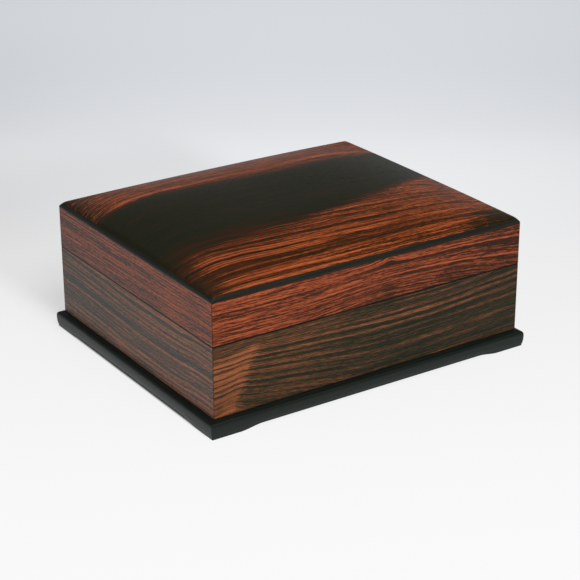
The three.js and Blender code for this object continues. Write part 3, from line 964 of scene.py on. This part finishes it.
# The grain and the gloss of each kind of wall, and the colours and joints of the lid and of the case.
finishes = {
    ("lid", "long"): (LID_GRAIN, 0.12),
    ("case", "long"): (CASE_GRAIN, 0.12),
    ("lid", "short"): (SIDE_GRAIN, 0.27),
    ("case", "short"): (SIDE_GRAIN, 0.34),
}
planks = {"lid": (LID_COLOURS, (lid_low, lid_high)), "case": (CASE_COLOURS, (case_low, case_high))}
for side, shift in SHIFTS.items():
    length = "long" if side in LONG_SIDES else "short"
    for kind, (colours, joints) in planks.items():
        lines = wall_figure(side=side, shift=shift, **figures[kind, length])
        grain, gloss = finishes[kind, length]
        wood_name = f"{kind}_wood_{side}"
        materials[kind, side] = striped_wood(wood_name, lines, colours, grain, gloss=gloss, joints=joints)

# %% [markdown]
# The plinth and the edge band are ebony, stained to an even black. It is nearly featureless, but a flat
# colour would look like plastic: real ebony has faint brown streaks, and its polish is uneven. So it is made
# from the same streaks and pores as the striped wood, only much fainter. Its corners and rims get a paler
# grey as a painted highlight.

# %% Ebony
BAND_COLOURS = palette(
    (0.0125, 0.0135, 0.0103), (0.0185, 0.0182, 0.0135), (0.027, 0.0235, 0.0168), (0.048, 0.032, 0.0205)
)
PLINTH_COLOURS = palette(
    (0.0035, 0.0065, 0.0045), (0.006, 0.0095, 0.0068), (0.01, 0.0125, 0.0095), (0.024, 0.0215, 0.016)
)
POLISH = (0.84, 1.0, 0.97, 1.0)
# The colour, width and share of the painted highlight on the corners and rims.
ARRIS_HIGHLIGHT = (0.06, 0.07, 0.068, 1.0)
ARRIS_HIGHLIGHT_WIDTH = 0.8
ARRIS_HIGHLIGHT_SHARE = 0.3


def ebony_wood(name, lengthwise, colours, rims, gloss, overhang=0.0):
    material, tree, shader = new_wood(name)
    x, y, z = place_in_mm(tree)
    along, across = (x, y) if lengthwise else (y, x)
    level = plus(tree, z, across)
    broad = streak(tree, along, level, length=60.0, pitch=1.2, seed=2.0, depth=across)
    cut = {"Along": along, "Level": level, "Depth": across, "Length": 2.5, "Width": 0.4, "Density": 0.3}
    dashes = use_group(tree, pores, cut)["Mask"]
    color = use_group(tree, timber, {"Tone": times_plus(tree, broad, 0.6, 0.3), **colours})["Color"]
    # Painted highlight: the corners and rims are made a paler grey.
    near = near_arris(tree, x, y, z, rims, ARRIS_HIGHLIGHT_WIDTH, overhang)
    arris_highlight = times(tree, larger(tree, near["Corner"], near["Rim"]), ARRIS_HIGHLIGHT_SHARE)
    color = mix_color(tree, arris_highlight, color, ARRIS_HIGHLIGHT)
    roughness = times_plus(tree, dashes, 0.12, times_plus(tree, broad, 0.08, 0.42))
    relief = times_plus(tree, dashes, -1.0, times(tree, broad, 0.3))
    finish_wood(tree, shader, color, roughness, gloss, relief, strength=0.3)
    shader.inputs["Specular Tint"].default_value = POLISH
    return material


plinth_rims = (0.0, plinth_high)
band_rims = (lid_high, lid_high + ROLL_HEIGHT)
for side in SIDE_NAMES:
    lengthwise = side in LONG_SIDES
    materials["plinth", side] = ebony_wood(
        "plinth_ebony_" + side, lengthwise, PLINTH_COLOURS, plinth_rims, gloss=0.25, overhang=plinth_overhang
    )
    materials["band", side] = ebony_wood(
        "band_ebony_" + side, lengthwise, BAND_COLOURS, band_rims, gloss=0.08
    )
print("ebony for", len(SIDE_NAMES), "sides")

# %% [markdown]
# Inside, the lining, the floor and the tongues are of a plainer, straight-grained wood without the oil. The
# recipe of the striped boards serves here too, with paler colours, faint grain and a figure that only follows
# one direction, so the inside belongs to the same box.

# %% Plain wood
PLAIN_REPEAT = 70.0
PLAIN_TONES = [
    (0, 0.45), (7, 0.62), (12, 0.5), (19, 0.66), (26, 0.48), (33, 0.6), (41, 0.52), (50, 0.65), (58, 0.5),
    (PLAIN_REPEAT, 0.6),
]
PLAIN_COLOURS = palette((0.10, 0.05, 0.028), (0.17, 0.09, 0.05), (0.27, 0.15, 0.085), (0.40, 0.25, 0.15))


def plain_wood(name, along_axis, across_axis):
    def figure(tree, x, y, z):
        places = {"x": x, "y": y, "z": z}
        across = places[across_axis]
        level = calc(tree, "PINGPONG", across, PLAIN_REPEAT)
        return places[along_axis], across, z, rule(tree, level, PLAIN_TONES), 1.0

    return striped_wood(name, figure, PLAIN_COLOURS, FAINT_GRAIN, rough=0.55, gloss=0.3)


materials["lining_long"] = plain_wood("lining_wood_long", "x", "z")
materials["lining_short"] = plain_wood("lining_wood_short", "y", "z")
materials["floor"] = plain_wood("floor_wood", "x", "y")
materials["tongue"] = plain_wood("tongue_wood", "z", "x")
print(len(materials), "materials")

# %% [markdown]
# A tree is only a recipe until it runs. Each piece runs it as a modifier on a small outline, the inputs are
# set by their identifiers, and the result is kept as a plain mesh whose place is in its points. Doubles are
# merged, faces are turned outwards, and only real arrises stay sharp. Weighted normals keep the flat faces
# flat up to their rounded edges.

# %% Run a tree and keep its mesh
SHARP_ANGLE = math.radians(32)
MERGE_DISTANCE = 0.002 * MM


def evaluated_mesh(work):
    shown = work.evaluated_get(bpy.context.evaluated_depsgraph_get())
    return bpy.data.meshes.new_from_object(shown)


def make_piece(name, outline, tree, values):
    """Runs the tree on the outline and gives back the finished piece, at the origin and with no modifiers."""
    work = bpy.data.objects.new(name, outline)
    bpy.context.scene.collection.objects.link(work)
    modifier = work.modifiers.new("form", "NODES")
    modifier.node_group = tree
    for item in tree.interface.items_tree:
        if item.in_out == "INPUT" and item.name in values:
            modifier[item.identifier] = values[item.name]
    mesh = evaluated_mesh(work)
    work.modifiers.clear()
    shell = bmesh.new()
    shell.from_mesh(mesh)
    bmesh.ops.remove_doubles(shell, verts=shell.verts, dist=MERGE_DISTANCE)
    bmesh.ops.dissolve_degenerate(shell, edges=shell.edges, dist=MERGE_DISTANCE)
    bmesh.ops.recalc_face_normals(shell, faces=shell.faces)
    open_edges = [edge for edge in shell.edges if not edge.is_manifold]
    shell.to_mesh(mesh)
    shell.free()
    mesh.shade_smooth()
    mesh.set_sharp_from_angle(angle=SHARP_ANGLE)
    work.data = mesh
    weighted = work.modifiers.new("weighted", "WEIGHTED_NORMAL")
    weighted.keep_sharp = True
    work.data = evaluated_mesh(work)
    work.modifiers.clear()
    work.data.name = name
    print(name, len(work.data.polygons), "faces,", len(open_edges), "open edges")
    return work


# %% [markdown]
# An outline is a closed line of (outward, up) points. Straight stretches need only their ends, and round ones
# are quarter circles or quadratic curves, worked out by a formula as finely as the picture needs.

# %% Outline helpers
def outline_mesh(name, points):
    mesh = bpy.data.meshes.new(name + "_outline")
    edges = [(i, (i + 1) % len(points)) for i in range(len(points))]
    mesh.from_pydata([(out, high, 0.0) for out, high in points], edges, [])
    return mesh


def quadratic(start, control, end, steps=8):
    """Points after start on a quadratic curve."""
    points = []
    for i in range(1, steps + 1):
        t = i / steps
        near, middle, far = (1 - t) ** 2, 2 * t * (1 - t), t * t
        points.append(tuple(near * a + middle * b + far * c for a, b, c in zip(start, control, end)))
    return points


def quarter(start, corner, end, steps=4):
    """A rounded corner: points after start on the quarter circle that ends at end."""
    points = []
    for i in range(1, steps + 1):
        angle = i / steps * math.pi / 2
        share, rest = 1 - math.cos(angle), 1 - math.sin(angle)
        points.append(tuple(c + (s - c) * rest + (e - c) * share for s, c, e in zip(start, corner, end)))
    return points


# %% [markdown]
# The four sides share each outline. For every side there is a turn about the vertical, and the length and
# offset change places on the two ends of the box.

# %% Make one kind of rail on all four sides
TONGUE_END = 5 * MM
SIDES = {
    "front": (0.0, half_length, half_depth),
    "right": (math.pi / 2, half_depth, half_length),
    "back": (math.pi, half_length, half_depth),
    "left": (-math.pi / 2, half_depth, half_length),
}


def make_rails(kind, points, base, body, slot, **values):
    """Four mitred pieces that replace the working model's KIND_SIDE nodes."""
    outline = outline_mesh(kind, points)
    for side, (turn, side_length, side_offset) in SIDES.items():
        sizes = {"Turn": turn, "Half Length": side_length, "Half Offset": side_offset, "Base": base}
        length = "long" if side in LONG_SIDES else "short"
        material = materials.get((kind, side)) or materials[kind + "_" + length]
        settings = {"Material": material, **sizes, **values}
        piece = make_piece(f"{kind}_{side}_board", outline, rail, settings)
        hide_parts(f"{kind}_{side}")
        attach(piece, body)


# %% [markdown]
# The plinth is a low moulding that the case stands on. From the wall outwards it has a flat fillet, a fine
# step down, a round shoulder, and a side that draws in to the toe. Between the corners its underside is
# lifted, which leaves four low feet. It could be a box with bevels, but only a drawn outline gives the
# shoulder its slow curve, which catches the light.

# %% Plinth
FILLET_WIDTH = 2.6 * MM
FILLET_FALL = 0.75 * MM
STEP_HEIGHT = 0.35 * MM
SHOULDER = 9.4 * MM
ANKLE_OVERHANG = 4.45 * MM
ANKLE_HEIGHT = 1.9 * MM
TOE_OVERHANG = 3.3 * MM
FOOT_LENGTH = 20 * MM
FOOT_HEIGHT = 2.2 * MM

step_foot = plinth_high - FILLET_FALL - STEP_HEIGHT
toe = (TOE_OVERHANG, 0.0)
ankle = (ANKLE_OVERHANG, ANKLE_HEIGHT)
shoulder = (plinth_overhang, SHOULDER)
fillet_edge = (FILLET_WIDTH, step_foot)
plinth_points = [(-plinth_seat, 0.0), toe]
plinth_points += quadratic(toe, (ANKLE_OVERHANG, 0.0), ankle)
plinth_points += quadratic(ankle, (plinth_overhang, SHOULDER / 2), shoulder, steps=10)
plinth_points += quadratic(shoulder, (plinth_overhang, step_foot), fillet_edge, steps=14)
plinth_points += [(FILLET_WIDTH, plinth_high - FILLET_FALL), (0.0, plinth_high), (-plinth_seat, plinth_high)]
foot = {"Foot Length": FOOT_LENGTH, "Foot Height": FOOT_HEIGHT, "Foot Fades": SHOULDER, "Reach": FOOT_LENGTH}
make_rails("plinth", plinth_points, 0.0, "case", "ebony", **foot, **{"Half Lines": 60})

# %% [markdown]
# The case walls are flat boards with a groove for the floor. Their upper outer arris is eased, and so is the
# lower arris of the lid walls: together they make the fine dark line where the lid meets the case. The real
# gap stays dark from every side and opens when the lid lifts, and painted shade on both rims darkens it more.

# %% Case walls and lid walls
SEAM_ARRIS = 0.4 * MM
GROOVE_LOW = 3 * MM
GROOVE_DEPTH = 4 * MM
FLOOR_THICKNESS = 6 * MM
FLAT_LINES = {"Half Lines": 8, "Line Spread": 1.0}
groove_high = GROOVE_LOW + FLOOR_THICKNESS + 2 * GLUE_LINE


def eased(inner, corner, outer):
    """The corner of an outline, eased by a quarter circle from inner to outer."""
    return [inner] + quarter(inner, corner, outer)


case_tall = case_high - case_low
case_points = [(0.0, 0.0)]
case_points += eased((0.0, case_tall - SEAM_ARRIS), (0.0, case_tall), (-SEAM_ARRIS, case_tall))
case_points += [(-wall, case_tall), (-wall, groove_high), (GROOVE_DEPTH - wall, groove_high)]
case_points += [(GROOVE_DEPTH - wall, GROOVE_LOW), (-wall, GROOVE_LOW), (-wall, 0.0)]
slot_low = case_low + GROOVE_LOW + FLOOR_THICKNESS + TONGUE_END - TONGUE_GAP
slots = {"Slot Low": slot_low, "Slot High": case_high - TONGUE_END + TONGUE_GAP}
make_rails("case", case_points, case_low, "case", "case_wood", **slots, **FLAT_LINES)

lid_tall = lid_high - lid_low
lid_points = [(0.0, lid_tall), (-wall, lid_tall), (-wall, 0.0)]
lid_points += eased((-SEAM_ARRIS, 0.0), (0.0, 0.0), (0.0, SEAM_ARRIS))
slots = {"Slot Low": lid_low + TONGUE_END - TONGUE_GAP, "Slot High": lid_high - TONGUE_END + TONGUE_GAP}
make_rails("lid", lid_points, lid_low, "lid", "lid_wood", **slots, **FLAT_LINES)

# %% [markdown]
# The lining boards stand inside the case and rise above its rim as a lip. Their outer face steps in above the
# rim, and their upper outer edge is rounded, so that the lid finds its place. They are rails like the walls,
# because they meet in mitres too.

# %% Lining
LIP_LEAD = 0.8 * MM
LINING_EASE = 0.3 * MM
lining_outer = half_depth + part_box("lining_front")[0][1]
lining_inner = half_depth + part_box("lining_front")[1][1]
lip_face = wall + LINING_EASE
lining_tall = lining_high - lining_low
rim = case_high - lining_low
lining_points = [(-lining_outer, 0.0), (-lining_outer, rim), (-lip_face, rim)]
lip_top = (-lip_face, lining_tall)
inner_top = (-lining_inner, lining_tall)
inner_ease = (LINING_EASE - lining_inner, lining_tall)
lining_points += eased((-lip_face, lining_tall - LIP_LEAD), lip_top, (-lip_face - LIP_LEAD, lining_tall))
lining_points += eased(inner_ease, inner_top, (-lining_inner, lining_tall - LINING_EASE))
lining_points += [(-lining_inner, 0.0)]
make_rails("lining", lining_points, lining_low, "case", "inner_wood", **FLAT_LINES)

# %% [markdown]
# The band is an ebony strip let into the edge of the lid. Its outline is only as wide as the strip, and its
# upper points are lifted to the dome, so it rolls over with the top board. Its points lie closest together at
# the outer edge, where the roll is steepest.

# %% Edge band
BAND_STEPS = 12
band_points = [(-BAND_WIDTH, GLUE_LINE), (0.0, GLUE_LINE)]
band_points += [(-BAND_WIDTH * (i / BAND_STEPS) ** 1.5, 2 * BAND_FACE) for i in range(BAND_STEPS + 1)]
band_values = {"Half Lines": 60, "Follow Dome": True, "Reach": ROLL_WIDTH}
make_rails("band", band_points, lid_high, "lid", "ebony", **band_values)

# %% [markdown]
# The top board runs its own tree. The loose floor and the hidden tongues are plain blocks on the real box
# too, so they keep the form of the working model and only get their wood.

# %% Top board and the pieces that keep their form
lid_top = make_piece("lid_top_board", bpy.data.meshes.new("empty"), board, {"Material": materials["top"]})
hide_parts("lid_top")
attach(lid_top, "lid")

for name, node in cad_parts.items():
    if name == "floor" or "tongue" in name:
        node.data.materials.clear()
        node.data.materials.append(materials["floor" if name == "floor" else "tongue"])

# %% [markdown]
# The box stands on a wide sheet of pale paper. It is painted a little greyer towards the back, as painted
# shade where the light falls off. A plain white floor would do, but its brightness would depend on the lamps,
# and they are set for the box. So what is seen of the paper is mostly its own colour, with a share of the
# real shadow.

# %% Floor
FLOOR_RADIUS = 4.0
LIT_PAPER = (0.9, 0.9, 0.9, 1.0)
FRONT_SHADOW = 0.08
BACK_SHADOW = 0.42
PAPER_DEPTHS = [
    (-0.5, 0.955), (-0.24, 0.935), (-0.1, 0.91), (0.0, 0.89), (0.07, 0.875), (0.21, 0.865), (0.375, 0.85),
    (0.44, 0.835), (0.573, 0.77), (0.7, 0.735), (0.8, 0.72), (1.1, 0.71), (1.35, 0.6), (3.0, 0.56),
]
floor_mesh = bpy.data.meshes.new("studio_floor")
disc = bmesh.new()
bmesh.ops.create_circle(disc, cap_ends=True, radius=FLOOR_RADIUS, segments=96)
disc.to_mesh(floor_mesh)
disc.free()
studio_floor = bpy.data.objects.new("studio_floor", floor_mesh)
bpy.context.scene.collection.objects.link(studio_floor)

paper = bpy.data.materials.new("studio_paper")
paper.use_nodes = True
sheet = paper.node_tree
sheet.nodes.clear()


def distance_along(x, y):
    """How far a point of the paper lies from under the box in one direction."""
    node = add_node(sheet, "ShaderNodeVectorMath", operation="DOT_PRODUCT")
    feed(sheet, node.inputs[0], object_place(sheet))
    node.inputs[1].default_value = (x, y, 0.0)
    return node.outputs["Value"]


backwards = distance_along(math.sin(TURN), math.cos(TURN))
sideways = distance_along(math.cos(TURN), -math.sin(TURN))
# Painted shade: the paper is made greyer towards the back, where the light falls off.
lightness = rule(sheet, backwards, PAPER_DEPTHS)

# Painted shade: behind the box the paper is made a little darker at its sides than in the middle.
aside = minus(sheet, sideways, 0.05)
painted_side_shade = smaller(sheet, times(sheet, times(sheet, aside, aside), 0.8), 0.2)
painted_side_shade = times(sheet, painted_side_shade, remap(sheet, backwards, 0.0, 0.3))
painted_side_shade = times(sheet, painted_side_shade, remap(sheet, backwards, 0.5, 1.1, 1.1, 0.4))
lightness = times(sheet, lightness, minus(sheet, 1.0, painted_side_shade))

# In front of the box the paper is so well lit that it shows hardly any shadow. Straight behind the box it
# shows a soft one, and in the gap under the plinth it is simply dark.
spot_x, spot_y, _ = split(sheet, object_place(sheet))
over_x = minus(sheet, size_of(sheet, spot_x), half_length + plinth_overhang)
over_y = minus(sheet, size_of(sheet, spot_y), half_depth + plinth_overhang)
under_box = remap(sheet, larger(sheet, over_x, over_y), 0.0, -3 * MM)
under_box = times(sheet, under_box, remap(sheet, spot_y, -0.117, -0.107))
behind_box = times(sheet, remap(sheet, spot_y, 0.04, 0.14), remap(sheet, spot_y, 0.6, 0.4))
beside_box = times(sheet, remap(sheet, spot_x, -0.16, -0.125), remap(sheet, spot_x, 0.22, 0.14))
open_share = times_plus(sheet, times(sheet, behind_box, beside_box), BACK_SHADOW, FRONT_SHADOW)
shadow_share = mix(sheet, under_box, open_share, 1.0)
lightness = over(sheet, lightness, times_plus(sheet, open_share, -0.2, 1.0))
coolness = remap(sheet, backwards, 0.0, 0.8, 0.0, 0.035)
red = times_plus(sheet, coolness, -0.6, lightness)
blue = plus(sheet, lightness, coolness)
paper_color = step(sheet, "ShaderNodeCombineColor", {"Red": red, "Green": lightness, "Blue": blue})

# The paper is lit by the lamps for the box's sake, but what is seen of it is mostly its own pale colour.
lit_paper = step(sheet, "ShaderNodeBsdfDiffuse", {"Color": LIT_PAPER})
seen_lit = step(sheet, "ShaderNodeBsdfDiffuse", {"Color": paper_color})
seen_plain = step(sheet, "ShaderNodeEmission", {"Color": paper_color})
seen_paper = step(sheet, "ShaderNodeMixShader", {0: shadow_share, 1: seen_plain, 2: seen_lit})


def seen_directly(tree):
    """One for camera, glossy and transmission rays, and nought for the light that the paper throws back."""
    kinds = add_node(tree, "ShaderNodeLightPath").outputs
    looks = larger(tree, kinds["Is Camera Ray"], kinds["Is Glossy Ray"])
    return larger(tree, looks, kinds["Is Transmission Ray"])


either_paper = step(sheet, "ShaderNodeMixShader", {0: seen_directly(sheet), 1: lit_paper, 2: seen_paper})
feed(sheet, add_node(sheet, "ShaderNodeOutputMaterial").inputs["Surface"], either_paper)
floor_mesh.materials.append(paper)
print("paper:", len(sheet.nodes), "nodes")

# %% [markdown]
# One large softbox stands high in front of the box and a little to the left. The air overhead is bright and
# the air near the horizon is dim: that is what the top mirrors towards a low camera, so the dark wood stays
# dark. To the right a pale glow stands low in the air, which the rolled edge catches as a sheen, and it is
# dim above it. More lamps could do the same, but a few rules for the air are easier to balance.

# %% Light
EDGE_GLOW = 0.45
DIM_ABOVE = -0.7
SEEN_AIR = (0.61, 0.64, 0.675, 1.0)
SOFTBOX_SIZE = 0.7
SOFTBOX_POWER = 12.5
SOFTBOX_PLACE = Vector((-0.2, -0.95, 1.2))
SOFTBOX_AIM = Vector((0.0, 0.0, 0.05))
SKY_HEIGHTS = [
    (-0.05, 0.2), (0.04, 0.22), (0.09, 0.31), (0.17, 0.4), (0.25, 0.27), (0.3, 0.24), (0.5, 0.2),
    (0.6, 0.12), (0.75, 0.12), (0.88, 0.65), (1.0, 0.95),
]
world = bpy.data.worlds.new("studio_air")
bpy.context.scene.world = world
world.use_nodes = True
air = world.node_tree
background = air.nodes["Background"]
to_right, _, height = split(air, add_node(air, "ShaderNodeTexCoord").outputs["Generated"])
glow = times(air, remap(air, to_right, 0.62, 0.88), remap(air, height, 0.05, 0.25))
sky = times_plus(air, glow, EDGE_GLOW, rule(air, height, SKY_HEIGHTS))
dim = times(air, remap(air, to_right, 0.4, 0.58), remap(air, height, 0.3, 0.42))
dim = times(air, dim, remap(air, to_right, 0.8, 0.66))
sky = times(air, sky, times_plus(air, dim, DIM_ABOVE, 1.0))
in_camera = add_node(air, "ShaderNodeLightPath").outputs["Is Camera Ray"]
feed(air, background.inputs["Strength"], mix(air, in_camera, sky, 1.0))
feed(air, background.inputs["Color"], mix_color(air, in_camera, (1.0, 1.0, 1.0, 1.0), SEEN_AIR))

softbox = bpy.data.objects.new("softbox", bpy.data.lights.new("softbox", "AREA"))
softbox.data.size = SOFTBOX_SIZE
softbox.data.energy = SOFTBOX_POWER
softbox.location = SOFTBOX_PLACE
softbox.rotation_euler = (SOFTBOX_AIM - SOFTBOX_PLACE).to_track_quat("-Z", "Y").to_euler()
bpy.context.scene.collection.objects.link(softbox)
bpy.context.scene.view_settings.view_transform = "Standard"
print("softbox at", softbox.location)
